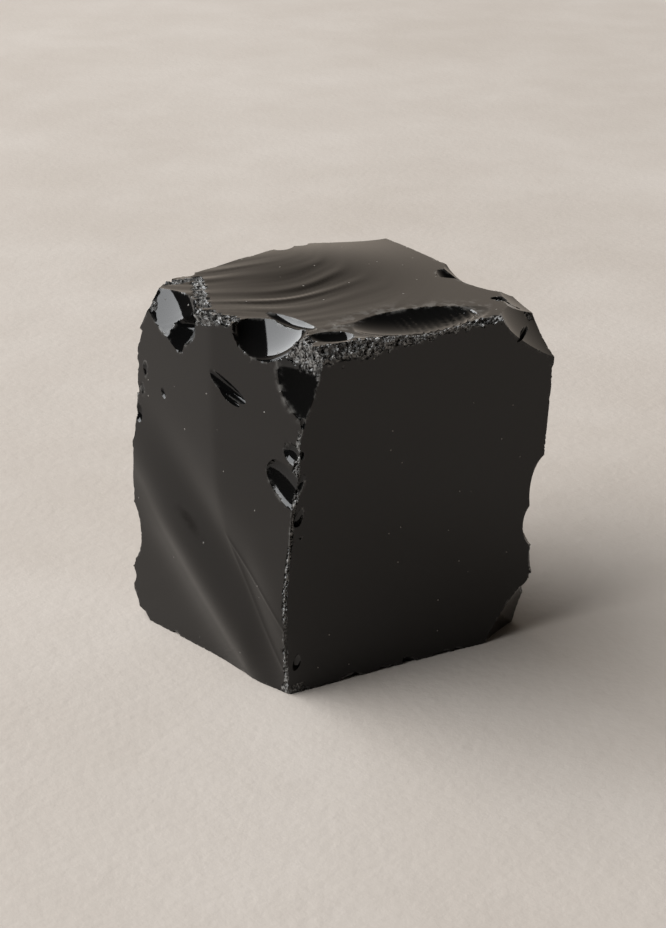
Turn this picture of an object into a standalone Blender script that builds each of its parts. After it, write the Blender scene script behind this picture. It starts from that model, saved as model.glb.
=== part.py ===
"""Obsidian chunk: one block of black volcanic glass, broken on every side, standing on its flattest break.

Six broad breaks make the block, and smaller flakes struck off its corners and edges have left scoops in it.
A cube is cut to the flat planes of the six breaks and divided, and then every point moves along its ray
from the heart of the stone to the first break that crosses that ray. Lengths are in millimetres until the
last step.
"""

import math
import random

import bmesh
import bpy
import numpy as np

MM = 0.001

# ---- driving dimensions ----
WIDTH = 50.0
DEPTH = 44.0
HEIGHT = 52.0

LEFT, RIGHT = -WIDTH / 2, WIDTH / 2
FRONT, BACK = -DEPTH / 2, DEPTH / 2
SHOULDER = HEIGHT - 2.0  # the height of the top break at the front corner
HEART = np.array([0.0, 0.0, SHOULDER / 2])
FARTHEST = 1.2 * HEIGHT  # no corner is farther than this from the heart

# The four upright corners: where each meets the ground, and where it meets the top break.
FRONT_POST = (-15.2, FRONT + 0.9, 0.0), (-13.9, FRONT + 0.3, SHOULDER)
RIGHT_POST = (RIGHT - 3.1, FRONT + 1.0, 0.0), (RIGHT + 0.9, FRONT - 0.2, SHOULDER)
BACK_POST = (RIGHT - 6.0, BACK - 3.2, 0.0), (RIGHT - 6.4, BACK - 3.2, SHOULDER)
LEFT_POST = (LEFT - 0.4, 12.4, 0.0), (LEFT + 2.4, 12.6, SHOULDER)

# ---- how finely the block is divided ----
FINE_EDGE = 1.05  # the longest edge beside a ridge
SPREAD = 0.8  # how much longer it may be for each millimetre away from the ridge
SCAR_GRAIN = 1.5
LEAST_CHIP = 1.1  # the narrowest flake along an edge
LEAST_HEIGHT = 0.12  # no triangle is made thinner than this to follow a ridge


def unit(vectors):
    vectors = np.asarray(vectors, float)
    return vectors / np.linalg.norm(vectors, axis=-1, keepdims=True)


def bump(distance, width):
    """A smooth hump, 1 where distance is 0 and near 0 beyond the width."""
    return np.exp(-((distance / width) ** 2))


def ease(value, start, end):
    """0 at the start and 1 at the end, with no corner at either."""
    share = np.clip((value - start) / (end - start), 0.0, 1.0)
    return share * share * (3.0 - 2.0 * share)


class Break:
    """A broad break: a plane, raised or sunk by its relief. Across runs to the right, up runs up it."""

    def __init__(self, at, facing, relief, grain):
        self.grain = grain
        self.at = np.asarray(at, float)
        self.facing = unit(facing)
        level = abs(self.facing[2]) > 0.7
        side = (1.0, 0.0, 0.0) if level else np.cross((0.0, 0.0, 1.0), self.facing)
        self.up = unit(np.cross(self.facing, unit(side)))
        self.across = np.cross(self.up, self.facing)
        self.relief = relief

    def reach(self, rays):
        """How far each ray from the heart runs before it meets the break."""
        slant = rays @ self.facing
        straight = (self.at - HEART) @ self.facing
        out = np.full(len(rays), np.inf)
        meets = slant * FARTHEST > straight
        rays, slant = rays[meets], slant[meets]
        far = straight / slant
        for _ in range(6):
            place = HEART + rays * far[:, None] - self.at
            far = (straight + self.relief(place @ self.across, place @ self.up)) / slant
        out[meets] = far
        return out


class Scar:
    """The scoop that one flake left: part of an egg-shaped bowl, ringed from where it was struck."""

    def __init__(self, at, out, along, size, steep=0.4, ring=0.0, ring_gap=1.6):
        length, width, depth = size
        self.grain = min(SCAR_GRAIN, width / 2.5)
        out = unit(out)
        along = np.asarray(along, float)
        along = unit(along - (along @ out) * out)
        spread = math.sqrt(1.0 - steep * steep)
        deep = depth / (1.0 - steep)
        self.radii = np.array([length / 2 / spread, width / 2 / spread, deep])
        self.axes = np.stack([along, np.cross(out, along), out])
        self.centre = np.asarray(at, float) + out * deep * steep
        self.struck = np.asarray(at, float) - along * length / 2
        self.ring, self.ring_gap = ring / deep, ring_gap

    def reach(self, rays):
        out = np.full(len(rays), np.inf)
        start = self.axes @ (HEART - self.centre) / self.radii
        heading = (rays @ self.axes.T) / self.radii
        a = np.einsum("ij,ij->i", heading, heading)
        b = heading @ start
        inside = b * b - a * (start @ start - 1.0)
        meets = (inside > 0.0) & (b < 0.0)
        a, b = a[meets], b[meets]
        swell = np.ones(len(a))
        for _ in range(3 if self.ring else 1):
            depth = np.maximum(b * b - a * (start @ start - swell * swell), 0.0)
            far = (-b - np.sqrt(depth)) / a
            place = HEART + rays[meets] * far[:, None] - self.struck
            turns = np.linalg.norm(place, axis=1) / self.ring_gap
            swell = 1.0 + self.ring * np.sin(2.0 * math.pi * turns)
        out[meets] = far
        return out


def side(left_post, right_post, relief, grain):
    """The upright break between two posts, named from the left as seen from outside."""
    corners = np.array([*left_post, *right_post])
    run = corners[2:].mean(axis=0) - corners[:2].mean(axis=0)
    rise = corners[[1, 3]].mean(axis=0) - corners[[0, 2]].mean(axis=0)
    return Break(corners.mean(axis=0), np.cross(run, rise), relief, grain)


# ---- the six broad breaks ----


def front_relief(across, up):
    """Nearly flat: a dish half a millimetre deep."""
    return -0.45 + 0.45 * np.minimum((across / 20.0) ** 2 + (up / 25.0) ** 2, 1.5)


def left_relief(across, up):
    """Fuller at half height. A rib runs down it to the front foot, and a swell crosses it lower down."""
    height = up + SHOULDER / 2
    fullness = (0.8 + 0.027 * across) * (1.0 - ((height - 24.0) / 25.0) ** 2)
    below = 19.5 - height
    sweep = (below + np.sqrt(below**2 + 6.0)) / 2
    beside = (across - 6.6 + 0.155 * height - 1.13 * sweep) / (1.0 + 0.6 * ease(height, 22.0, 15.0))
    before = np.sqrt(beside**2 + 2.0) / 2 + beside / 2
    rib = 0.5 + 0.8 * ease(height, 50.0, 25.0) - 0.066 * before - 0.06 * (before - beside)
    above = 0.75 * (height - 10.2 + 0.88 * across)
    swell = 0.8 * bump(above, 3.6) - 0.9 * bump(above - 7.0, 4.5) + 0.08 * np.maximum(-3.0 - above, 0.0)
    return fullness + rib + ease(height, 38.0, 16.0) * ease(across, 17.0, 8.0) * swell


def top_relief(across, up):
    """A low dome, highest towards the back, with rings that spread from a blow beyond the back edge."""
    dome = 1.6 * bump(np.hypot((across - 2.0) / 15.0, (up - 14.0) / 14.0), 1.0)
    east, south = across + 2.7, up - 24.0
    wander = 0.5 * np.sin(across / 5.3 + up / 7.1) + 0.4 * np.sin(across / 3.1 - up / 4.7)
    spread = np.hypot(east, south) * (1.0 + 0.25 * ease(np.arctan2(east, -south), 0.35, 0.9))
    turn = (spread + wander) / 4.3
    rings = np.cos(2.0 * math.pi * turn) + 0.25 * np.cos(4.0 * math.pi * turn)
    strength = 0.08 * ease(across, 16.0, -2.0) * ease(spread, 7.0, 12.0)
    return dome + strength * rings


def right_relief(across, up):
    """A broad hollow with low swells across it."""
    waves = 0.35 * np.sin(up / 4.2 + 0.6 * np.sin(across / 7.0))
    return -1.1 * bump(np.hypot(across - 4.0, up - 9.0), 15.0) + waves * ease(across, -2.0, 14.0)


def back_relief(across, up):
    """One wide shell-shaped hollow, ringed from a blow at its top corner."""
    spread = np.hypot(across - 16.0, up - 27.0)
    rings = 0.2 * np.cos(2.0 * math.pi * spread / 6.2) * ease(spread, 8.0, 20.0)
    return -2.0 * bump(np.hypot(across / 1.2, up + 2.0), 19.0) + 0.3 + rings


def base_relief(across, up):
    return np.zeros_like(across)


BREAKS = {
    "front": side(FRONT_POST, RIGHT_POST, front_relief, 5.0),
    "right": side(RIGHT_POST, BACK_POST, right_relief, 2.8),
    "back": side(BACK_POST, LEFT_POST, back_relief, 2.8),
    "left": side(LEFT_POST, FRONT_POST, left_relief, 2.2),
    "top": Break((0.0, 0.0, SHOULDER), (0.0, 0.0, 1.0), top_relief, 1.7),
    "base": Break((0.0, 0.0, 0.0), (0.0, 0.0, -1.0), base_relief, 6.0),
}


# ---- the flakes struck from it: where, facing which way, running which way, (length, width, depth) ----

SCARS = [
    # left top corner: the flake behind it, then the deep bowl
    Scar((-21.4, 12.4, 48.5), (-0.66, 0.64, 0.40), (0.75, 0.35, 0.5), (15.0, 13.0, 1.0)),
    Scar((-21.3, 5.6, 47.8), (-0.76, -0.27, 0.60), (-0.45, -0.80, -0.40), (15.0, 10.0, 2.0), 0.35, 0.03, 0.9),
    Scar((-20.9, 4.6, 44.8), (-0.40, -0.52, 0.76), (0.88, -0.47, 0.0), (10.0, 4.8, 0.45), 0.3),
    # front top corner: a bright bowl that opens to the left, and the flake along its rim
    Scar((-13.2, -11.4, 50.1), (-0.64, -0.28, 0.71), (0.30, -0.92, 0.0), (11.0, 10.8, 2.0), 0.3),
    Scar((-10.0, -10.0, 50.2), (-0.42, -0.15, 0.90), (0.25, -0.96, 0.0), (10.0, 2.8, 0.7), 0.3),
    # the front corner: a hollow below that bowl and two nicks lower down
    Scar((-14.3, -19.9, 44.65), (-0.86, -0.44, 0.27), (0.16, -0.75, -0.64), (12.0, 12.0, 0.92), 0.3),
    Scar((-15.4, -20.3, 35.3), (-0.82, -0.45, 0.35), (0.16, -0.75, -0.64), (3.2, 2.6, 0.3), 0.2),
    Scar((-16.0, -19.6, 30.8), (-0.85, -0.42, 0.30), (0.17, -0.77, -0.62), (7.8, 4.6, 0.4), 0.2),
    # two narrow nicks side by side on the left break
    Scar((-19.2, -6.0, 41.8), (-0.74, -0.64, 0.20), (0.25, -0.88, -0.40), (11.5, 1.9, 0.5), 0.4),
    Scar((-18.7, -7.8, 40.0), (-0.74, -0.64, 0.20), (0.25, -0.88, -0.40), (5.4, 0.8, 0.35), 0.3),
    # the front edge of the top: a long scoop with a small one to its left
    Scar((4.8, -16.4, 50.4), (0.0, -0.20, 0.98), (1.0, -0.03, 0.0), (20.0, 10.5, 1.5), 0.35, 0.05, 1.1),
    Scar((-8.6, -17.5, 50.2), (0.05, -0.38, 0.92), (0.9, -0.4, 0.0), (6.8, 4.2, 1.0), 0.35),
    # the crushed edge itself, in three long bites
    Scar((-8.0, -22.2, 49.9), (-0.05, -0.76, 0.64), (1.0, 0.0, -0.02), (13.0, 4.4, 1.1), 0.3),
    Scar((2.5, -22.2, 50.3), (0.0, -0.76, 0.64), (1.0, 0.0, 0.05), (13.0, 4.0, 1.0), 0.3),
    Scar((13.0, -22.2, 50.7), (0.05, -0.76, 0.64), (1.0, 0.0, 0.0), (14.0, 3.6, 0.9), 0.3),
    # right of the top: a groove and a chip at its back end, then the corner
    Scar((22.2, -6.0, 50.4), (0.50, 0.05, 0.86), (0.16, -0.98, -0.05), (16.5, 12.0, 2.0), 0.35, 0.02, 1.8),
    Scar((20.0, -1.0, 50.0), (0.30, -0.50, 0.80), (0.2, -0.98, 0.0), (5.5, 3.2, 0.6), 0.3),
    Scar((21.7, -20.1, 47.2), (0.45, -0.62, 0.64), (0.80, 0.10, -0.60), (13.0, 10.0, 0.8), 0.3),
    Scar((22.9, -17.5, 49.2), (0.38, -0.16, 0.91), (0.1, 1.0, 0.0), (14.0, 11.0, 0.9), 0.3),
    # a shallow scoop in the back lip of the top
    Scar((11.5, 18.4, 51.0), (0.10, 0.55, 0.83), (1.0, -0.15, 0.0), (20.0, 7.0, 1.1), 0.35),
    # bites down the right upright edge
    Scar((24.2, -20.4, 22.4), (0.95, -0.45, 0.0), (-0.1, 0.0, 1.0), (11.5, 8.0, 2.0), 0.3),
    Scar((23.4, -20.4, 17.4), (0.95, -0.45, 0.1), (-0.1, 0.1, 1.0), (8.0, 7.0, 2.2), 0.3),
    Scar((24.0, -20.8, 12.0), (0.90, -0.40, 0.0), (0.0, 0.0, 1.0), (9.0, 5.0, 1.0), 0.3),
    Scar((22.6, -20.6, 7.0), (1.0, -0.35, 0.0), (0.0, 0.2, 1.0), (4.4, 4.0, 1.0), 0.3),
    # the foot of that edge
    Scar((20.3, -19.6, 1.4), (0.62, -0.55, -0.55), (0.62, 0.15, 0.60), (11.0, 7.5, 1.9), 0.3),
    # the left upright edge
    Scar((-24.8, 12.2, 13.5), (-0.90, 0.40, 0.0), (0.0, 0.0, 1.0), (9.0, 6.0, 1.2), 0.3),
    Scar((-24.6, 12.4, 34.0), (-0.90, 0.40, 0.0), (0.1, 0.0, 1.0), (5.0, 4.0, 0.9), 0.3),
    Scar((-24.4, 10.8, 0.5), (-0.70, 0.20, -0.70), (0.2, -0.9, 0.1), (5.0, 3.0, 0.5), 0.3),
    # the back: overlapping shells
    Scar((19.0, 18.6, 34.0), (0.75, 0.66, 0.05), (0.0, 0.2, 1.0), (26.0, 15.0, 3.2), 0.35, 0.06, 2.4),
    Scar((17.8, 19.6, 9.0), (0.70, 0.70, -0.15), (0.3, 0.0, 1.0), (17.0, 12.0, 2.4), 0.35, 0.05, 2.0),
    Scar((-22.0, 14.6, 36.0), (-0.55, 0.80, 0.10), (0.3, 0.2, 1.0), (14.0, 8.0, 1.6), 0.35, 0.04, 1.4),
    Scar((-4.0, 18.0, 3.0), (0.10, 0.75, -0.60), (1.0, 0.0, 0.1), (20.0, 9.0, 2.0), 0.35, 0.05, 1.6),
]


def edge_chips(rng, start, end, out, count, size):
    """Small flakes, spaced unevenly along an edge from start to end, without the very smallest."""
    start, end = np.asarray(start, float), np.asarray(end, float)
    run = unit(end - start)
    for step in range(count):
        share = (step + rng.uniform(0.15, 0.85)) / count
        long = size * rng.choice((0.45, 0.6, 0.8, 1.1, 1.5)) * rng.uniform(0.85, 1.15)
        lean = unit(np.asarray(out, float) + [rng.uniform(-0.5, 0.5) for _ in range(3)])
        along = run + [rng.uniform(-0.4, 0.4) for _ in range(3)]
        chip = (long * rng.uniform(1.2, 2.2), long, long * rng.uniform(0.13, 0.24))
        if long > LEAST_CHIP:
            yield Scar(start + (end - start) * share, lean, along, chip, 0.35)


def all_chips():
    rng = random.Random(5)
    front_foot, front_head = FRONT_POST
    right_foot, right_head = RIGHT_POST
    left_foot, left_head = LEFT_POST
    back_foot, back_head = BACK_POST
    edges = [
        (front_foot, front_head, (-0.75, -0.65, 0.0), 12, 0.9),
        (front_head, right_head, (0.0, -0.8, 0.6), 13, 2.0),
        (front_foot, right_foot, (0.0, -0.7, -0.7), 13, 1.0),
        (left_foot, front_foot, (-0.7, -0.2, -0.7), 15, 1.3),
        (left_head, front_head, (-0.65, -0.2, 0.7), 12, 1.6),
        (left_foot, left_head, (-0.8, 0.6, 0.0), 17, 1.7),
        (back_foot, left_foot, (-0.1, 0.7, -0.7), 8, 2.0),
        (back_head, left_head, (-0.1, 0.7, 0.7), 11, 1.6),
        (right_foot, back_foot, (0.7, 0.1, -0.7), 7, 2.0),
        (right_foot, right_head, (0.75, -0.65, 0.0), 15, 1.1),
    ]
    for edge in edges:
        yield from edge_chips(rng, *edge)


SURFACES = [*BREAKS.values(), *SCARS, *all_chips()]


def strike(places):
    """Where the ray through each place leaves the stone, by which surface, and how near another is."""
    rays = unit(places - HEART)
    nearest = np.full(len(rays), np.inf)
    second = np.full(len(rays), np.inf)
    owner = np.zeros(len(rays), int)
    for number, surface in enumerate(SURFACES):
        far = surface.reach(rays)
        wins = far < nearest
        second = np.where(wins, nearest, np.minimum(second, far))
        owner[wins] = number
        nearest[wins] = far[wins]
    return HEART + rays * nearest[:, None], owner, second - nearest


def places_of(bm):
    return np.array([vert.co for vert in bm.verts])


def move_to(bm, places):
    for vert, place in zip(bm.verts, places):
        vert.co = place


def cut_block():
    """A cube, cut by the flat plane of each broad break and closed again."""
    bm = bmesh.new()
    bmesh.ops.create_cube(bm, size=3.0 * HEIGHT)
    for wall in BREAKS.values():
        whole = [*bm.verts, *bm.edges, *bm.faces]
        bmesh.ops.bisect_plane(bm, geom=whole, plane_co=wall.at, plane_no=wall.facing, clear_outer=True)
        rim = [edge for edge in bm.edges if edge.is_boundary]
        bmesh.ops.edgeloop_fill(bm, edges=rim)
    bmesh.ops.triangulate(bm, faces=bm.faces)
    return bm


def even_out(bm, verts):
    bmesh.ops.smooth_vert(bm, verts=verts, factor=0.5, use_axis_x=True, use_axis_y=True, use_axis_z=True)


def divide(bm):
    """Halves every edge that is too long for where it lies, until none is."""
    grains = np.array([surface.grain for surface in SURFACES])
    for _ in range(10):
        struck, owner, gap = strike(places_of(bm))
        move_to(bm, struck)
        allowed = np.minimum(grains[owner], FINE_EDGE + SPREAD * gap)
        bm.verts.index_update()
        long = []
        for edge in bm.edges:
            start, end = edge.verts
            if edge.calc_length() > 1.4 * min(allowed[start.index], allowed[end.index]):
                long.append(edge)
        if not long:
            break
        bmesh.ops.subdivide_edges(bm, edges=long, cuts=1)
        bmesh.ops.triangulate(bm, faces=[face for face in bm.faces if len(face.verts) > 3])
        even_out(bm, bm.verts)


def find_ridges(struck, owner, pairs):
    """Where the edge between two places crosses from one surface to the next, as a share of its length."""
    low, high = np.zeros(len(pairs)), np.ones(len(pairs))
    start, run = struck[pairs[:, 0]], struck[pairs[:, 1]] - struck[pairs[:, 0]]
    for _ in range(7):
        middle = (low + high) / 2
        before = strike(start + run * middle[:, None])[1] == owner[pairs[:, 0]]
        low, high = np.where(before, middle, low), np.where(before, high, middle)
    share = (low + high) / 2
    return share, start + run * share[:, None]


def least_heights(places, corners):
    """The least height of each triangle, below 0 where it is folded back as seen from the heart."""
    a, b, c = (places[corners[:, number]] - HEART for number in range(3))
    normal = np.cross(b - a, c - a)
    longest = np.max([np.linalg.norm(side, axis=1) for side in (b - a, c - b, a - c)], axis=0)
    return np.sign(np.einsum("ij,ij->i", a, normal)) * np.linalg.norm(normal, axis=1) / longest


def follow_ridges(bm):
    """Slides the points beside each ridge onto it, never so far that a triangle folds, and evens out the rest."""
    struck, owner, _ = strike(places_of(bm))
    bm.verts.index_update()
    bm.verts.ensure_lookup_table()
    corners = np.array([[vert.index for vert in face.verts] for face in bm.faces])
    pairs = np.array([[vert.index for vert in edge.verts] for edge in bm.edges])
    pairs = pairs[owner[pairs[:, 0]] != owner[pairs[:, 1]]]
    moves = {}
    for (start, end), share, place in zip(pairs, *find_ridges(struck, owner, pairs)):
        near, part = (start, share) if share < 0.5 else (end, 1.0 - share)
        if near not in moves or part < moves[near][0]:
            moves[near] = (part, place)
    places = struck.copy()
    for number, (_, place) in moves.items():
        places[number] = place
    for _ in range(12):
        poor = set(corners[least_heights(places, corners) < LEAST_HEIGHT].ravel())
        for number in poor & set(moves):
            places[number] = struck[number]
            del moves[number]
        move_to(bm, places)
        even_out(bm, [vert for vert in bm.verts if vert.index not in moves])
        places = strike(places_of(bm))[0]
    move_to(bm, places)
    for _ in range(4):
        poor = sorted(set(corners[least_heights(places_of(bm), corners) < LEAST_HEIGHT / 3].ravel()))
        even_out(bm, [bm.verts[number] for number in poor])


def obsidian():
    glass = bpy.data.materials.new("obsidian")
    glass.use_nodes = True
    shader = glass.node_tree.nodes["Principled BSDF"]
    shader.inputs["Base Color"].default_value = (0.012, 0.011, 0.010, 1.0)
    shader.inputs["Roughness"].default_value = 0.12
    shader.inputs["Metallic"].default_value = 0.0
    shader.inputs["IOR"].default_value = 1.5
    return glass


def main():
    for thing in list(bpy.data.objects):
        bpy.data.objects.remove(thing)
    bm = cut_block()
    divide(bm)
    follow_ridges(bm)
    places = places_of(bm)
    middle = (places.min(axis=0) + places.max(axis=0)) / 2
    bmesh.ops.translate(bm, vec=(-middle[0], -middle[1], 0.0), verts=bm.verts)
    bmesh.ops.scale(bm, vec=(MM, MM, MM), verts=bm.verts)
    mesh = bpy.data.meshes.new("obsidian_chunk")
    bm.to_mesh(mesh)
    bm.free()
    mesh.shade_smooth()
    mesh.set_sharp_from_angle(angle=math.radians(25.0))
    mesh.materials.append(obsidian())
    chunk = bpy.data.objects.new("obsidian_chunk", mesh)
    bpy.context.scene.collection.objects.link(chunk)


main()
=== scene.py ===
import math
import random

import bmesh
import bpy
import numpy as np
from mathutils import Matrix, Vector, noise


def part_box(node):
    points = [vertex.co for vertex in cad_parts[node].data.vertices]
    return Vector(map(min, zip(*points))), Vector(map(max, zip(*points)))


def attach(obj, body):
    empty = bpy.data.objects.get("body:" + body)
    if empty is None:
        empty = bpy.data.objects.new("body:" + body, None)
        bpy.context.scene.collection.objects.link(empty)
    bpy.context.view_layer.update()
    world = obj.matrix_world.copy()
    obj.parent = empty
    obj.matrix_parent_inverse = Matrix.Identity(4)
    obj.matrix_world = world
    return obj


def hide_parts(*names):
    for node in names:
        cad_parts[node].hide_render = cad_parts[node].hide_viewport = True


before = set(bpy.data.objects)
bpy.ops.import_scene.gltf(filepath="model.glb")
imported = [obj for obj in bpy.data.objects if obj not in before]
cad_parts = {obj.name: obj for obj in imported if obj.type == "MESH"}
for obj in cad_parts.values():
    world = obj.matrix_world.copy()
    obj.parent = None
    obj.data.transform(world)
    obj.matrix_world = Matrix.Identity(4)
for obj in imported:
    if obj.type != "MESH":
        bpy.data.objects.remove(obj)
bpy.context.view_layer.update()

# ----------------------------------------------------------------------------------------------------------
# The stone: one block of black volcanic glass, broken on every side. Six broad breaks make the block, and
# flakes struck off its corners and edges left the scoops. A cube is cut to the six breaks and divided, and
# every point moves along its ray from the heart to the first break or scoop that crosses that ray.
# ----------------------------------------------------------------------------------------------------------
MM = 0.001
NODE = "obsidian_chunk"
LEFT, RIGHT, FRONT, BACK = -25.0, 25.0, -22.0, 22.0
HEIGHT = 52.0
SHOULDER = 50.0
HEART = np.array([0.0, 0.0, SHOULDER / 2])
FARTHEST = 1.2 * HEIGHT

# The four upright corners: where each meets the ground, and where it meets the top break.
FRONT_POST = (-15.2, FRONT + 0.9, 0.0), (-13.9, FRONT + 0.3, SHOULDER)
RIGHT_POST = (RIGHT - 3.1, FRONT + 1.0, 0.0), (RIGHT + 0.9, FRONT - 0.2, SHOULDER)
BACK_POST = (RIGHT - 6.0, BACK - 3.2, 0.0), (RIGHT - 6.4, BACK - 3.2, SHOULDER)
LEFT_POST = (LEFT - 0.4, 12.4, 0.0), (LEFT + 2.4, 12.6, SHOULDER)


def unit(vectors):
    vectors = np.asarray(vectors, float)
    return vectors / np.linalg.norm(vectors, axis=-1, keepdims=True)


def bump(distance, width):
    """A smooth hump, 1 where distance is 0 and near 0 beyond the width."""
    return np.exp(-((distance / width) ** 2))


def ease(value, start, end):
    """0 at the start and 1 at the end, with no corner at either."""
    share = np.clip((value - start) / (end - start), 0.0, 1.0)
    return share * share * (3.0 - 2.0 * share)


class Break:
    """A broad break: a plane, raised or sunk by its relief. Across runs to the right, up runs up it."""

    def __init__(self, at, facing, relief, grain):
        self.grain = grain
        self.at = np.asarray(at, float)
        self.facing = unit(facing)
        level = abs(self.facing[2]) > 0.7
        side = (1.0, 0.0, 0.0) if level else np.cross((0.0, 0.0, 1.0), self.facing)
        self.up = unit(np.cross(self.facing, unit(side)))
        self.across = np.cross(self.up, self.facing)
        self.relief = relief

    def reach(self, rays):
        """How far each ray from the heart runs before it meets the break."""
        slant = rays @ self.facing
        straight = (self.at - HEART) @ self.facing
        out = np.full(len(rays), np.inf)
        meets = slant * FARTHEST > straight
        rays, slant = rays[meets], slant[meets]
        far = straight / slant
        for _ in range(6):
            place = HEART + rays * far[:, None] - self.at
            far = (straight + self.relief(place @ self.across, place @ self.up)) / slant
        out[meets] = far
        return out


class Scar:
    """The scoop that one flake left: part of an egg-shaped bowl, ringed from where it was struck."""

    def __init__(self, at, out, along, size, steep=0.4, ring=0.0, ring_gap=1.6):
        length, width, depth = size
        self.grain = min(0.45, width / 6.0)
        out = unit(out)
        along = np.asarray(along, float)
        along = unit(along - (along @ out) * out)
        spread = math.sqrt(1.0 - steep * steep)
        deep = depth / (1.0 - steep)
        self.radii = np.array([length / 2 / spread, width / 2 / spread, deep])
        self.axes = np.stack([along, np.cross(out, along), out])
        self.at = np.asarray(at, float)
        self.centre = self.at + out * deep * steep
        self.struck, self.length = self.at - along * length / 2, length
        self.ring, self.ring_gap = ring / deep, ring_gap
        towards = self.at - HEART
        self.towards = unit(towards)
        reach = math.hypot(length, width) / 2 + depth
        self.near = math.cos(min(1.4, math.atan2(reach, np.linalg.norm(towards) - depth)))

    def reach(self, rays):
        out = np.full(len(rays), np.inf)
        close = np.flatnonzero(rays @ self.towards > self.near)
        rays = rays[close]
        start = self.axes @ (HEART - self.centre) / self.radii
        heading = (rays @ self.axes.T) / self.radii
        a = np.einsum("ij,ij->i", heading, heading)
        b = heading @ start
        inside = b * b - a * (start @ start - 1.0)
        meets = (inside > 0.0) & (b < 0.0)
        a, b, rays = a[meets], b[meets], rays[meets]
        swell = np.ones(len(a))
        for _ in range(3 if self.ring else 1):
            depth = np.maximum(b * b - a * (start @ start - swell * swell), 0.0)
            far = (-b - np.sqrt(depth)) / a
            spread = np.linalg.norm(HEART + rays * far[:, None] - self.struck, axis=1)
            fade = ease(spread, 0.35 * self.length, 0.6 * self.length)
            swell = 1.0 + self.ring * fade * np.sin(2.0 * math.pi * spread / self.ring_gap)
        out[close[meets]] = far
        return out


def side(left_post, right_post, relief, grain):
    """The upright break between two posts, named from the left as seen from outside."""
    corners = np.array([*left_post, *right_post])
    run = corners[2:].mean(axis=0) - corners[:2].mean(axis=0)
    rise = corners[[1, 3]].mean(axis=0) - corners[[0, 2]].mean(axis=0)
    return Break(corners.mean(axis=0), np.cross(run, rise), relief, grain)


def front_relief(across, up):
    """Nearly flat: a dish half a millimetre deep."""
    return -0.45 + 0.45 * np.minimum((across / 20.0) ** 2 + (up / 25.0) ** 2, 1.5)


def left_relief(across, up):
    """Fuller at half height. A rib runs down it to the front foot, and a swell crosses it low down."""
    height = up + SHOULDER / 2
    fullness = (0.8 + 0.027 * across) * (1.0 - ((height - 24.0) / 25.0) ** 2)
    below = 19.5 - height
    sweep = (below + np.sqrt(below**2 + 6.0)) / 2
    beside = (across - 6.6 + 0.155 * height - 1.13 * sweep) / (1.0 + 0.6 * ease(height, 22.0, 15.0))
    before = np.sqrt(beside**2 + 0.5) / 2 + beside / 2
    rib = 0.5 + 0.8 * ease(height, 50.0, 25.0) - 0.066 * before - 0.06 * (before - beside)
    above = 0.75 * (height - 12.0 + 0.88 * across)
    swell = 1.2 * bump(above, 4.8) - 0.7 * bump(above - 7.5, 4.2) + 0.08 * np.maximum(-3.0 - above, 0.0)
    first, second = hackle_lines(across, up)
    hackles = ease(across, 3.5, 6.0) * (0.06 * bump(first, 0.22) + 0.05 * bump(second, 0.35))
    return fullness + rib + ease(height, 38.0, 16.0) * ease(across, 17.0, 8.0) * swell + hackles


def hackle_lines(across, up):
    """How far each place of the left break lies above the two hackle lines, which part from the rib."""
    height = up + SHOULDER / 2
    return 0.79 * (height - 23.3 + 0.78 * across), 0.6 * (height - 25.7 + 1.35 * across)


def top_relief(across, up):
    """A low dome, highest towards the back, with rings that spread from a blow beyond the back edge."""
    dome = 1.6 * bump(np.hypot((across - 2.0) / 15.0, (up - 14.0) / 14.0), 1.0)
    east, south = across + 2.7, up - 24.0
    wander = 0.5 * np.sin(across / 5.3 + up / 7.1) + 0.4 * np.sin(across / 3.1 - up / 4.7)
    spread = np.hypot(east, south) * (1.0 + 0.25 * ease(np.arctan2(east, -south), 0.35, 0.9))
    turn = (spread + wander + 0.7 * np.sin(spread / 2.1)) / 4.3
    rings = np.cos(2.0 * math.pi * turn) + 0.3 * np.cos(4.0 * math.pi * turn)
    rings = rings * (0.6 + 0.4 * np.sin(spread / 3.3 + 1.0))
    half = np.cos(2.0 * math.pi * (spread + 1.7 * wander) / 2.7) * np.sin(spread / 3.9 + across / 6.0)
    fine = np.sin(2.0 * math.pi * (spread + 1.6 * wander) / 1.15) * np.sin(spread / 2.3 + across / 9.0)
    strength = 0.75 + 0.45 * np.sin(spread / 2.9 + across / 4.1)
    strength = strength * ease(across, 16.0, -2.0) * ease(spread, 7.0, 12.0)
    return dome + strength * (0.05 * rings + 0.014 * half + 0.004 * fine)


def right_relief(across, up):
    """A broad hollow with low swells across it."""
    waves = 0.35 * np.sin(up / 4.2 + 0.6 * np.sin(across / 7.0))
    return -1.1 * bump(np.hypot(across - 4.0, up - 9.0), 15.0) + waves * ease(across, -2.0, 14.0)


def back_relief(across, up):
    """One wide shell-shaped hollow, ringed from a blow at its top corner."""
    spread = np.hypot(across - 16.0, up - 27.0)
    rings = 0.2 * np.cos(2.0 * math.pi * spread / 6.2) * ease(spread, 8.0, 20.0)
    return -2.0 * bump(np.hypot(across / 1.2, up + 2.0), 19.0) + 0.3 + rings


def base_relief(across, up):
    return np.zeros_like(across)


BREAKS = [
    side(FRONT_POST, RIGHT_POST, front_relief, 1.6),
    side(RIGHT_POST, BACK_POST, right_relief, 1.0),
    side(BACK_POST, LEFT_POST, back_relief, 0.9),
    side(LEFT_POST, FRONT_POST, left_relief, 0.7),
    Break((0.0, 0.0, SHOULDER), (0.0, 0.0, 1.0), top_relief, 0.45),
    Break((0.0, 0.0, 0.0), (0.0, 0.0, -1.0), base_relief, 4.0),
]

LEFT_BREAK, BASE = BREAKS[3], BREAKS[5]


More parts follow.
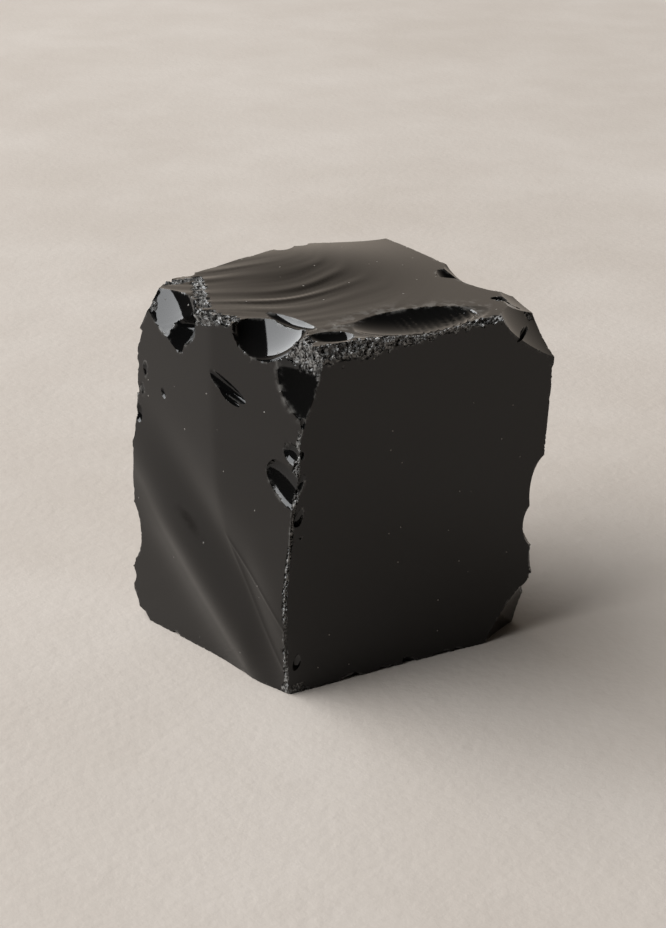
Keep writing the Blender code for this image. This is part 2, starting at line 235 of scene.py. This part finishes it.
def by_hackles(places):
    """The longest edge that still shows the hackle lines, which grows away from them."""
    place = places - LEFT_BREAK.at
    across, up = place @ LEFT_BREAK.across, place @ LEFT_BREAK.up
    return 0.2 + 0.5 * np.min(np.abs(hackle_lines(across, up)), axis=0) + 2.0 * ease(across, 4.0, 1.0)


# The flakes struck from it: where, facing which way, running which way, (length, width, depth).
SCARS = [
    # left top corner: the flake behind it, then the deep bowl
    Scar((-21.4, 12.4, 48.5), (-0.66, 0.64, 0.40), (0.75, 0.35, 0.5), (15.0, 13.0, 1.0)),
    Scar((-21.3, 5.6, 47.8), (-0.76, -0.27, 0.60), (-0.45, -0.8, -0.4), (15.0, 10.0, 2.0), 0.35, 0.03, 0.9),
    Scar((-20.9, 4.6, 44.8), (-0.40, -0.52, 0.76), (0.88, -0.47, 0.0), (10.0, 4.8, 0.45), 0.3),
    # front top corner: a bright bowl that opens to the left, and the flake along its rim
    Scar((-13.2, -11.4, 50.1), (-0.64, -0.28, 0.71), (0.30, -0.92, 0.0), (11.0, 10.8, 2.0), 0.3),
    Scar((-10.0, -10.0, 50.2), (-0.42, -0.15, 0.90), (0.25, -0.96, 0.0), (10.0, 2.8, 0.7), 0.3),
    # the front corner: a hollow below that bowl and two nicks lower down
    Scar((-14.3, -19.9, 44.65), (-0.86, -0.44, 0.27), (0.16, -0.75, -0.64), (12.0, 12.0, 0.92), 0.3),
    Scar((-15.4, -20.3, 35.3), (-0.82, -0.45, 0.35), (0.16, -0.75, -0.64), (3.2, 2.6, 0.3), 0.2),
    Scar((-16.0, -19.6, 30.8), (-0.85, -0.42, 0.30), (0.17, -0.77, -0.62), (7.8, 4.6, 0.4), 0.2),
    # two narrow nicks side by side on the left break
    Scar((-19.2, -6.0, 41.8), (-0.74, -0.64, 0.20), (0.25, -0.88, -0.40), (11.5, 1.7, 0.65), 0.3),
    Scar((-18.7, -7.8, 40.0), (-0.74, -0.64, 0.20), (0.25, -0.88, -0.40), (5.4, 0.8, 0.35), 0.3),
    # the front edge of the top: a long scoop with a small one to its left
    Scar((4.8, -16.4, 50.4), (0.0, -0.20, 0.98), (1.0, -0.03, 0.0), (20.0, 10.5, 1.5), 0.35, 0.05, 1.1),
    Scar((-8.6, -17.5, 50.2), (0.05, -0.38, 0.92), (0.9, -0.4, 0.0), (6.8, 4.2, 1.0), 0.35),
    # the crushed edge itself, in three long bites
    Scar((-8.0, -22.2, 49.9), (-0.05, -0.76, 0.64), (1.0, 0.0, -0.02), (13.0, 4.4, 1.1), 0.3),
    Scar((2.5, -22.2, 50.3), (0.0, -0.76, 0.64), (1.0, 0.0, 0.05), (13.0, 4.0, 1.0), 0.3),
    Scar((13.0, -22.2, 50.7), (0.05, -0.76, 0.64), (1.0, 0.0, 0.0), (14.0, 3.6, 0.9), 0.3),
    # right of the top: a groove and a chip at its back end, then the corner
    Scar((22.2, -6.0, 50.4), (0.50, 0.05, 0.86), (0.16, -0.98, -0.05), (16.5, 12.0, 2.0), 0.35, 0.02, 1.8),
    Scar((19.6, -1.4, 50.0), (0.22, -0.56, 0.80), (0.2, -0.98, 0.0), (8.0, 4.4, 0.8), 0.3),
    Scar((21.7, -20.1, 47.2), (0.45, -0.62, 0.64), (0.80, 0.10, -0.60), (13.0, 10.0, 0.8), 0.3),
    Scar((22.9, -17.5, 49.2), (0.38, -0.16, 0.91), (0.1, 1.0, 0.0), (14.0, 11.0, 0.9), 0.3),
    # a shallow scoop in the back lip of the top
    Scar((11.5, 18.4, 51.0), (0.10, 0.55, 0.83), (1.0, -0.15, 0.0), (20.0, 7.0, 1.1), 0.35),
    # bites down the right upright edge
    Scar((24.2, -20.4, 22.4), (0.95, -0.45, 0.0), (-0.1, 0.0, 1.0), (11.5, 8.0, 2.0), 0.3),
    Scar((23.4, -20.4, 17.4), (0.95, -0.45, 0.1), (-0.1, 0.1, 1.0), (8.0, 7.0, 2.2), 0.3),
    Scar((24.0, -20.8, 12.0), (0.90, -0.40, 0.0), (0.0, 0.0, 1.0), (9.0, 5.0, 1.0), 0.3),
    Scar((22.6, -20.6, 7.0), (1.0, -0.35, 0.0), (0.0, 0.2, 1.0), (4.4, 4.0, 1.0), 0.3),
    # the foot of that edge: one broad flake, which leaves a facet at the corner of the front break
    Scar((20.7, -19.4, 2.6), (0.42, -0.85, -0.32), (0.60, 0.0, 0.80), (13.0, 9.4, 0.4), 0.3, 0.02, 0.8),
    # the left upright edge
    Scar((-24.8, 12.2, 13.5), (-0.90, 0.40, 0.0), (0.0, 0.0, 1.0), (9.0, 6.0, 1.2), 0.3),
    Scar((-24.6, 12.4, 34.0), (-0.90, 0.40, 0.0), (0.1, 0.0, 1.0), (5.0, 4.0, 0.9), 0.3),
    Scar((-24.4, 10.8, 0.5), (-0.70, 0.20, -0.70), (0.2, -0.9, 0.1), (5.0, 3.0, 0.5), 0.3),
    # the back: overlapping shells
    Scar((19.0, 18.6, 34.0), (0.75, 0.66, 0.05), (0.0, 0.2, 1.0), (26.0, 15.0, 3.2), 0.35, 0.06, 2.4),
    Scar((17.8, 19.6, 9.0), (0.70, 0.70, -0.15), (0.3, 0.0, 1.0), (17.0, 12.0, 2.4), 0.35, 0.05, 2.0),
    Scar((-22.0, 14.6, 36.0), (-0.55, 0.80, 0.10), (0.3, 0.2, 1.0), (14.0, 8.0, 1.6), 0.35, 0.04, 1.4),
    Scar((-4.0, 18.0, 3.0), (0.10, 0.75, -0.60), (1.0, 0.0, 0.1), (20.0, 9.0, 2.0), 0.35, 0.05, 1.6),
]

# Slight flakes that are lost in the solid: they show in what the glass mirrors.
SCARS += [
    # a shallow dish around the long scoop at the front of the top
    Scar((4.5, -14.5, 50.2), (0.0, -0.06, 1.0), (1.0, 0.0, 0.0), (26.0, 15.0, 0.22), 0.3),
    # chips down the left upright edge, and one beside it
    Scar((-23.3, 10.6, 38.6), (-0.80, -0.55, 0.25), (0.0, 0.0, 1.0), (2.8, 1.5, 0.35), 0.3),
    Scar((-23.6, 11.0, 35.6), (-0.85, -0.45, 0.20), (0.0, 0.1, 1.0), (2.2, 1.3, 0.35), 0.3),
    Scar((-23.8, 11.4, 31.8), (-0.85, -0.45, 0.20), (0.0, 0.0, 1.0), (2.6, 1.4, 0.35), 0.3),
    Scar((-22.3, 5.9, 36.5), (-0.85, -0.45, 0.25), (0.2, -0.5, -0.8), (1.6, 0.9, 0.25), 0.3),
    # a crack across the right corner, and a nick behind it
    Scar((20.9, -20.0, 46.7), (0.10, -0.60, 0.79), (-0.76, -0.64, -0.08), (6.6, 0.8, 0.4), 0.3),
    Scar((20.2, -14.6, 50.0), (-0.20, -0.70, 0.69), (0.90, -0.30, 0.0), (3.0, 1.6, 0.4), 0.3),
    # the worn tip of the front foot
    Scar((-17.1, -21.2, 0.5), (-0.60, -0.65, -0.45), (0.6, -0.6, 0.0), (4.0, 3.0, 0.45), 0.3),
    # two worn tips on the right upright edge, and one at the left foot
    Scar((22.5, -21.4, 12.6), (0.90, -0.45, 0.0), (0.0, 0.0, 1.0), (5.0, 3.0, 0.3), 0.3),
    Scar((21.8, -21.3, 6.2), (0.90, -0.45, 0.0), (0.0, 0.0, 1.0), (4.4, 3.0, 0.3), 0.3),
    Scar((-25.7, 11.5, 2.2), (-0.90, 0.30, -0.20), (0.0, 0.0, 1.0), (5.0, 4.0, 0.5), 0.3),
]

# The edges, each as (start, end, facing out, how many small flakes it lost, and their size).
EDGES = [
    (FRONT_POST[0], FRONT_POST[1], (-0.75, -0.65, 0.0), 12, 0.9),
    (FRONT_POST[1], RIGHT_POST[1], (0.0, -0.8, 0.6), 13, 2.0),
    (FRONT_POST[0], RIGHT_POST[0], (0.0, -0.7, -0.7), 13, 1.0),
    (LEFT_POST[0], FRONT_POST[0], (-0.7, -0.2, -0.7), 15, 1.3),
    (LEFT_POST[1], FRONT_POST[1], (-0.65, -0.2, 0.7), 12, 1.6),
    (LEFT_POST[0], LEFT_POST[1], (-0.8, 0.6, 0.0), 17, 1.7),
    (BACK_POST[0], LEFT_POST[0], (-0.1, 0.7, -0.7), 8, 2.0),
    (BACK_POST[1], LEFT_POST[1], (-0.1, 0.7, 0.7), 11, 1.6),
    (RIGHT_POST[0], BACK_POST[0], (0.7, 0.1, -0.7), 7, 2.0),
    (RIGHT_POST[0], RIGHT_POST[1], (0.75, -0.65, 0.0), 15, 1.1),
]


def edge_chips(rng, start, end, out, count, size):
    """Small flakes, spaced unevenly along an edge that runs from start to end."""
    start, end = np.asarray(start, float), np.asarray(end, float)
    run = unit(end - start)
    for step in range(count):
        share = (step + rng.uniform(0.15, 0.85)) / count
        long = size * rng.choice((0.45, 0.6, 0.8, 1.1, 1.5)) * rng.uniform(0.85, 1.15)
        lean = unit(np.asarray(out, float) + [rng.uniform(-0.5, 0.5) for _ in range(3)])
        yield Scar(
            start + (end - start) * share,
            lean,
            run + [rng.uniform(-0.4, 0.4) for _ in range(3)],
            (long * rng.uniform(1.2, 2.2), long, long * rng.uniform(0.13, 0.24)),
            0.35,
        )


def all_chips():
    rng = random.Random(5)
    for edge in EDGES:
        yield from edge_chips(rng, *edge)


SURFACES = [*BREAKS, *SCARS, *all_chips()]
GRAINS = np.array([surface.grain for surface in SURFACES])


def strike(places):
    """Where the ray through each place leaves the stone, by which surface, and how near another is."""
    rays = unit(places - HEART)
    nearest = np.full(len(rays), np.inf)
    second = np.full(len(rays), np.inf)
    owner = np.zeros(len(rays), int)
    for number, surface in enumerate(SURFACES):
        far = surface.reach(rays)
        wins = far < nearest
        second = np.where(wins, nearest, np.minimum(second, far))
        owner[wins] = number
        nearest[wins] = far[wins]
    return HEART + rays * nearest[:, None], owner, second - nearest


# The crushed strips, where the edge was bruised to grains: each runs between two places, with a half-width.
BRUISES = [
    ((-13.6, -21.9, 49.2), (-4.0, -22.0, 49.2), 1.7),
    ((-4.0, -22.0, 49.3), (5.0, -22.0, 50.0), 1.5),
    ((5.0, -22.0, 50.0), (16.0, -22.0, 50.6), 1.2),
    ((-12.6, -17.0, 49.2), (-13.4, -21.6, 48.0), 2.1),
    ((-19.4, -0.5, 49.6), (-17.0, -5.6, 49.8), 1.3),
    ((-17.9, 1.0, 49.9), (-14.2, 11.6, 50.5), 1.0),
    ((-14.2, 11.6, 50.5), (-18.0, 12.4, 50.2), 0.9),
    ((-18.0, 12.4, 50.2), (-21.8, 10.4, 47.7), 0.6),
    ((19.4, -15.4, 50.0), (23.2, -17.7, 47.4), 0.5),
    ((-14.9, -21.4, 45.0), (-15.4, -21.3, 29.2), 0.5),
    ((-15.4, -21.3, 29.2), (-17.1, -21.2, 15.0), 0.32),
    ((-17.1, -21.2, 15.0), (-16.9, -21.0, 1.0), 0.36),
    ((-17.3, -20.4, 0.7), (-14.8, -21.2, 0.8), 0.8),
]


def bruising(places):
    """1 in the middle of a crushed strip and 0 outside it, with a ragged border."""
    depth = np.full(len(places), -np.inf)
    for start, end, half_width in BRUISES:
        start, run = np.array(start), np.subtract(end, start)
        share = np.clip((places - start) @ run / (run @ run), 0.0, 1.0)
        away = np.linalg.norm(places - start - share[:, None] * run, axis=1)
        depth = np.maximum(depth, 1.0 - away / half_width)
    close = np.flatnonzero(depth > -0.6)
    ragged = np.zeros(len(places))
    for number in close:
        coarse, fine = (noise.noise(Vector(places[number] * scale)) for scale in (1.1, 2.9))
        ragged[number] = 0.5 * coarse + 0.3 * fine
    return ease(depth + ragged, 0.0, 0.35)


def places_of(bm):
    return np.array([vert.co for vert in bm.verts])


def move_to(bm, places):
    for vert, place in zip(bm.verts, places):
        vert.co = place


def cut_block():
    """A cube, cut by the flat plane of each broad break and closed again."""
    bm = bmesh.new()
    bmesh.ops.create_cube(bm, size=3.0 * HEIGHT)
    for wall in BREAKS:
        whole = [*bm.verts, *bm.edges, *bm.faces]
        bmesh.ops.bisect_plane(bm, geom=whole, plane_co=wall.at, plane_no=wall.facing, clear_outer=True)
        rim = [edge for edge in bm.edges if edge.is_boundary]
        bmesh.ops.edgeloop_fill(bm, edges=rim)
    bmesh.ops.triangulate(bm, faces=bm.faces)
    return bm


def even_out(bm, verts):
    bmesh.ops.smooth_vert(bm, verts=verts, factor=0.5, use_axis_x=True, use_axis_y=True, use_axis_z=True)


FINE_EDGE = 0.24  # the longest edge beside a ridge
SPREAD = 0.55  # how much longer it may be for each millimetre away from the ridge
GRIT_EDGE = 0.17  # the longest edge in the crushed strips
SLACK = 1.4  # an edge is halved when it is longer than this many times what is allowed
ROUNDS = 14  # the most times that the mesh is divided
LEAST_HEIGHT = 0.03  # no triangle is made thinner than this to follow a ridge


def divide(bm):
    """Halves every edge that is too long for where it lies, until none is."""
    for _ in range(ROUNDS):
        struck, owner, gap = strike(places_of(bm))
        move_to(bm, struck)
        allowed = np.minimum(GRAINS[owner], FINE_EDGE + SPREAD * gap)
        on_left = owner == BREAKS.index(LEFT_BREAK)
        allowed = np.where(on_left, np.minimum(allowed, by_hackles(struck)), allowed)
        allowed = np.where(bruising(struck) > 0.0, GRIT_EDGE, allowed)
        bm.verts.index_update()
        ends = np.array([[vert.index for vert in edge.verts] for edge in bm.edges])
        lengths = np.linalg.norm(struck[ends[:, 0]] - struck[ends[:, 1]], axis=1)
        too_long = lengths > SLACK * allowed[ends].min(axis=1)
        if not too_long.any():
            break
        long = [edge for edge, marked in zip(bm.edges, too_long) if marked]
        bmesh.ops.subdivide_edges(bm, edges=long, cuts=1)
        bmesh.ops.triangulate(bm, faces=[face for face in bm.faces if len(face.verts) > 3])
        even_out(bm, bm.verts)


def find_ridges(struck, owner, pairs):
    """Where the edge between two places crosses from one surface to the next, as a share of its length."""
    low, high = np.zeros(len(pairs)), np.ones(len(pairs))
    start, run = struck[pairs[:, 0]], struck[pairs[:, 1]] - struck[pairs[:, 0]]
    for _ in range(7):
        middle = (low + high) / 2
        before = strike(start + run * middle[:, None])[1] == owner[pairs[:, 0]]
        low, high = np.where(before, middle, low), np.where(before, high, middle)
    share = (low + high) / 2
    return share, start + run * share[:, None]


def least_heights(places, corners):
    """The least height of each triangle, below 0 where it is folded back as seen from the heart."""
    a, b, c = (places[corners[:, number]] - HEART for number in range(3))
    normal = np.cross(b - a, c - a)
    longest = np.max([np.linalg.norm(side, axis=1) for side in (b - a, c - b, a - c)], axis=0)
    return np.sign(np.einsum("ij,ij->i", a, normal)) * np.linalg.norm(normal, axis=1) / longest


def follow_ridges(bm):
    """Slides the points beside each ridge onto it, if no triangle folds, and evens out the rest."""
    struck, owner, _ = strike(places_of(bm))
    bm.verts.index_update()
    bm.verts.ensure_lookup_table()
    corners = np.array([[vert.index for vert in face.verts] for face in bm.faces])
    pairs = np.array([[vert.index for vert in edge.verts] for edge in bm.edges])
    pairs = pairs[owner[pairs[:, 0]] != owner[pairs[:, 1]]]
    moves = {}
    for (start, end), share, place in zip(pairs, *find_ridges(struck, owner, pairs)):
        near, part = (start, share) if share < 0.5 else (end, 1.0 - share)
        if near not in moves or part < moves[near][0]:
            moves[near] = (part, place)
    places = struck.copy()
    for number, (_, place) in moves.items():
        places[number] = place
    for _ in range(4):
        poor = set(corners[least_heights(places, corners) < LEAST_HEIGHT].ravel())
        for number in poor & set(moves):
            places[number] = struck[number]
            del moves[number]
        move_to(bm, places)
        even_out(bm, [vert for vert in bm.verts if vert.index not in moves])
        places, owner, _ = strike(places_of(bm))
    return places, owner


GRAIN_SIZES = (0.75, 1.0), (0.36, 0.7)  # how wide the crushed grains are, and how strongly each size shows
PROUD = 0.05  # how far a grain may stand out of the face


def crush(places, depth):
    """Breaks the crushed strips into flat-sided grains of two sizes, each tilted its own way."""
    out = places.copy()
    for number in np.flatnonzero(depth > 0.0):
        sink = 0.0
        for grain, share in GRAIN_SIZES:
            spot = Vector(places[number] / grain)
            middle = noise.voronoi(spot)[1][0]
            tilt = 2.0 * noise.cell_vector(middle * 9.7) - Vector((1.0, 1.0, 1.0))
            sink += share * grain * (0.25 * tilt.z + 0.8 * (spot - middle).dot(tilt) - 0.22)
        out[number] += unit(places[number] - HEART) * min(depth[number] * sink, PROUD)
    return out


RIM_WIDTH = 0.16  # how far the pale rim of a ridge reaches: a worn edge, painted paler so that it is also a painted highlight along the ridge
SHARP = math.radians(27.0)  # a ridge turns more than this, and is shaded as an edge

block = cut_block()
divide(block)
places, owner = follow_ridges(block)
crushed = bruising(places)
low, high = (np.array(corner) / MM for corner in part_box(NODE))
middle = (places.min(axis=0) + places.max(axis=0)) / 2
middle[2] = 0.0
# the rim band along each ridge, whose colour is painted paler: partly wear, partly a painted highlight
# along the edge
rim = bump(strike(places)[2], RIM_WIDTH) * (owner != BREAKS.index(BASE))
places = crush(places, crushed)
places = np.clip(places - middle + [*((low + high) / 2)[:2], 0.0], low, high)
move_to(block, places * MM)
stone_mesh = bpy.data.meshes.new("obsidian")
block.to_mesh(stone_mesh)
block.free()
stone_mesh.shade_smooth()
stone_mesh.set_sharp_from_angle(angle=SHARP)
for name, values in (("crushed", crushed), ("rim", rim), ("broad", (owner < len(BREAKS)).astype(float))):
    stone_mesh.attributes.new(name, "FLOAT", "POINT").data.foreach_set("value", values)
stone = bpy.data.objects.new("obsidian", stone_mesh)
bpy.context.scene.collection.objects.link(stone)


class Wire:
    """One output of a shader node. Arithmetic on it adds the Math nodes that work it out."""

    def __init__(self, tree, socket=None):
        self.tree, self.socket = tree, socket

    def node(self, kind, sockets, settings=None, out=0):
        """Adds a node: its settings are set first, then a value or a wire for each socket that is named."""
        made = self.tree.nodes.new(kind)
        for name, value in (settings or {}).items():
            setattr(made, name, value)
        for name, value in sockets.items():
            if isinstance(value, Wire):
                self.tree.links.new(value.socket, made.inputs[name])
            else:
                made.inputs[name].default_value = value
        return Wire(self.tree, made.outputs[out])

    def math(self, operation, *values):
        return self.node("ShaderNodeMath", dict(enumerate(values)), {"operation": operation})

    def __add__(self, other):
        return self.math("ADD", self, other)

    def __sub__(self, other):
        return self.math("SUBTRACT", self, other)

    def __rsub__(self, other):
        return self.math("SUBTRACT", other, self)

    def __mul__(self, other):
        return self.math("MULTIPLY", self, other)

    def __gt__(self, other):
        return self.math("GREATER_THAN", self, other)

    __radd__, __rmul__ = __add__, __mul__

    def between(self, start, end, first=0.0, last=1.0):
        """Maps start to first and end to last, smoothly, and holds outside them."""
        limits = {"From Min": start, "From Max": end, "To Min": first, "To Max": last}
        settings = {"interpolation_type": "SMOOTHSTEP"}
        return self.node("ShaderNodeMapRange", {"Value": self, **limits}, settings)

    def blend(self, first, last):
        """A colour that goes from the first to the last as this wire goes from 0 to 1."""
        sockets = {"Factor": self, 6: first, 7: last}
        return self.node("ShaderNodeMix", sockets, {"data_type": "RGBA"}, out=2)

    def noise(self, size, detail=2.0, roughness=0.5):
        """Soft noise on this wire's position, with lumps of about the given size."""
        sockets = {"Vector": self, "Scale": 1.0 / size, "Detail": detail, "Roughness": roughness}
        return self.node("ShaderNodeTexNoise", sockets)


def new_material(name):
    material = bpy.data.materials.new(name)
    material.use_nodes = True
    shader = material.node_tree.nodes["Principled BSDF"]
    return material, shader, Wire(material.node_tree).node("ShaderNodeTexCoord", {}, out="Object")


def feed(shader, socket, wire):
    wire.tree.links.new(wire.socket, shader.inputs[socket])


FRESH_GLASS, BROAD_GLASS = (0.003, 0.003, 0.003, 1.0), (0.0040, 0.0030, 0.0023, 1.0)
# the pale grey of the ridges' rims: partly wear, partly a painted highlight standing for the thin bright
# line along each edge
WORN_EDGE_AND_HIGHLIGHT = (0.10, 0.096, 0.09, 1.0)
DEEP_GRIT, PALE_GRIT = (0.02, 0.019, 0.018, 1.0), (0.24, 0.235, 0.225, 1.0)
PALE_DUST = (0.30, 0.28, 0.25, 1.0)
DUST_GAP = 0.0016
POLISH = 0.06  # how rough the glass is in a fresh scoop

glass, shader, here = new_material("obsidian")
crushed = here.node("ShaderNodeAttribute", {}, {"attribute_name": "crushed"}, out="Fac")
broad = here.node("ShaderNodeAttribute", {}, {"attribute_name": "broad"}, out="Fac")
rim = here.node("ShaderNodeAttribute", {}, {"attribute_name": "rim"}, out="Fac")
rim = rim * here.noise(0.0012, 3.0).between(0.45, 0.65)
smear = here.noise(0.006, 3.0).between(0.35, 0.7)
breath = here.noise(0.0011, 4.0).between(0.3, 0.75)
grit = here.noise(0.0003, 2.0)

# one cell in five, about a millimetre and a half apart, holds a speck of dust
cells = {"Vector": here, "Scale": 1.0 / DUST_GAP}
from_speck = here.node("ShaderNodeTexVoronoi", cells)
pick = here.node("ShaderNodeTexVoronoi", cells, out="Color")
pick = here.node("ShaderNodeSeparateColor", {"Color": pick})
dust = (pick > 0.80) * from_speck.between(0.09, 0.05)

body = broad.blend(FRESH_GLASS, BROAD_GLASS)
grains = grit.between(0.35, 0.7).blend(DEEP_GRIT, PALE_GRIT)
# the rims of the ridges are painted paler: wear, and a painted highlight along each edge
wear_and_highlight = (0.8 * rim).blend(body, WORN_EDGE_AND_HIGHLIGHT)
coated = crushed.blend(wear_and_highlight, grains)
feed(shader, "Base Color", (dust * 0.7).blend(coated, PALE_DUST))
satin = 0.10 + 0.05 * smear + 0.03 * breath
feed(shader, "Roughness", POLISH + broad * (satin - POLISH) + crushed * 0.12 + dust * 0.3)
shader.inputs["IOR"].default_value = 1.43
fine = here.noise(0.0007, 3.0) * 0.02 * broad + grit * 0.25 * crushed + dust * 0.4
surface = here.node("ShaderNodeBump", {"Strength": 0.5, "Distance": 0.0002, "Height": fine}, out="Normal")
feed(shader, "Normal", surface)
stone_mesh.materials.append(glass)
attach(stone, "root")
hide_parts(NODE)

# ----------------------------------------------------------------------------------------------------------
# The floor: a slab of pale, warm plaster, smoothed by hand, so that its tone drifts a little from place to
# place. It is far larger than the stone and is not part of it.
# ----------------------------------------------------------------------------------------------------------
FLOOR_HALF = 2.2
DULL_PLASTER, PALE_PLASTER = (0.430, 0.381, 0.335, 1.0), (0.492, 0.445, 0.400, 1.0)

slab = bmesh.new()
bmesh.ops.create_grid(slab, x_segments=1, y_segments=1, size=FLOOR_HALF)
floor_mesh = bpy.data.meshes.new("plaster_floor")
slab.to_mesh(floor_mesh)
slab.free()
floor = bpy.data.objects.new("plaster_floor", floor_mesh)
bpy.context.scene.collection.objects.link(floor)
plaster, shader, here = new_material("plaster")
drift = here.noise(0.11, 4.0, 0.6).between(0.3, 0.7)
cloud = here.noise(0.035, 5.0, 0.6).between(0.35, 0.75)
tone = 0.55 * drift + 0.45 * cloud
feed(shader, "Base Color", tone.blend(DULL_PLASTER, PALE_PLASTER))
shader.inputs["Roughness"].default_value = 0.75
trowel = here.noise(0.012, 6.0, 0.65) + 0.4 * here.noise(0.0016, 3.0)
marks = {"Strength": 0.35, "Distance": 0.0006, "Height": trowel}
feed(shader, "Normal", here.node("ShaderNodeBump", marks, out="Normal"))
floor_mesh.materials.append(plaster)

# ----------------------------------------------------------------------------------------------------------
# The light: one large, cool window to the left, a little above the stone, in a room that is pale low down
# behind the stone, and dark overhead and behind the camera, so that the glass mirrors black there.
# ----------------------------------------------------------------------------------------------------------
WINDOW_SIZE = 8.4, 3.9
WINDOW_PLACE = Vector((-0.613, 0.398, 0.682)) * 5.0
DAYLIGHT, WARM_WALL = (0.97, 0.985, 1.0), (1.0, 0.87, 0.74, 1.0)

window_light = bpy.data.lights.new("window", "AREA")
window_light.shape = "RECTANGLE"
window_light.size, window_light.size_y = WINDOW_SIZE
window_light.energy = 700.0
window_light.color = DAYLIGHT
window = bpy.data.objects.new("window", window_light)
window.location = WINDOW_PLACE
window.rotation_euler = window.location.to_track_quat("Z", "Y").to_euler()
bpy.context.scene.collection.objects.link(window)

room = bpy.data.worlds.new("room")
room.use_nodes = True
bpy.context.scene.world = room
backdrop = room.node_tree.nodes["Background"]
towards = Wire(room.node_tree).node("ShaderNodeTexCoord", {}, out="Generated")
aside, depth, rise = (
    towards.node("ShaderNodeSeparateXYZ", {"Vector": towards}, out=axis) for axis in ("X", "Y", "Z")
)
# the pale wall stands behind and to the right, is brightest beside the corner, and fades with height
wall = depth.between(-0.5, 0.2, 0.03, 1.0) * aside.between(-0.40, 0.05, 0.03, 1.0)
wall = wall * aside.between(0.25, 0.55, 1.2, 0.7)
feed(backdrop, "Strength", rise.between(0.10, 0.75, 0.98, 0.02) * wall + 0.01)
backdrop.inputs["Color"].default_value = WARM_WALL
bpy.context.scene.view_settings.view_transform = "Standard"

# ----------------------------------------------------------------------------------------------------------
# The camera looks down on the front corner from the left of the stone's front, with a short telephoto lens.
# ----------------------------------------------------------------------------------------------------------
AZIMUTH, ELEVATION = math.radians(-28.0), math.radians(23.0)
AIM = Vector((-0.5 - middle[0], -4.0 - middle[1], 25.0)) * MM
DISTANCE = 0.2782
FOCAL_LENGTH, FILM_WIDTH = 75.0, 36.0

back = Vector((
    math.sin(AZIMUTH) * math.cos(ELEVATION),
    -math.cos(AZIMUTH) * math.cos(ELEVATION),
    math.sin(ELEVATION),
))
lens = bpy.data.cameras.new("camera")
lens.lens = FOCAL_LENGTH
lens.sensor_width = FILM_WIDTH
lens.clip_start = 0.01
camera = bpy.data.objects.new("camera", lens)
camera.location = AIM + back * DISTANCE
camera.rotation_euler = back.to_track_quat("Z", "Y").to_euler()
bpy.context.scene.collection.objects.link(camera)
bpy.context.scene.camera = camera
